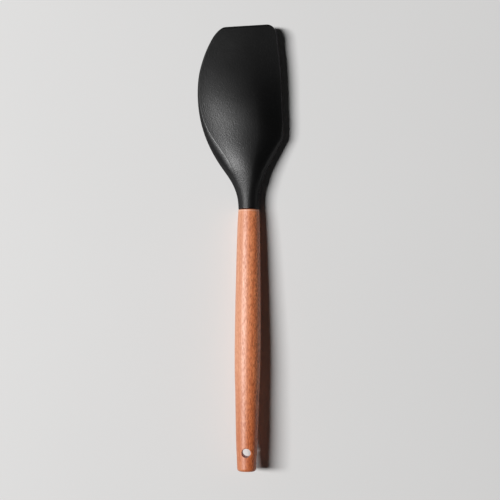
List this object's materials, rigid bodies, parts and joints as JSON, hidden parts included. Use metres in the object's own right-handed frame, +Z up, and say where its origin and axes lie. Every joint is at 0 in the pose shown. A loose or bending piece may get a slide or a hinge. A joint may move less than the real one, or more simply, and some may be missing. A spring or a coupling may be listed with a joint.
{
  "type": "silicone spatula",
  "caption": "Kitchen spatula: black silicone blade, one side curved and one straight, on a turned wooden handle with a hanging hole.",
  "frame": {"origin": "below the middle of the tool, on the surface that it rests on", "axes": "+Y along the tool from the handle's end to the blade's tip, +Z up, square to the surface; the handle's axis rises 3.15 degrees towards its end"},
  "size_m": [0.0623, 0.321, 0.0251],
  "materials": {
    "silicone": "satin",
    "core_steel": "satin",
    "cured_glue": "satin",
    "beech": "satin"
  },
  "bodies": {
    "root": {"silicone_head": "silicone", "core_plate": "core_steel", "tang_rod": "core_steel", "glue_sleeve": "cured_glue", "beech_handle": "beech"}
  },
  "joints": []
}
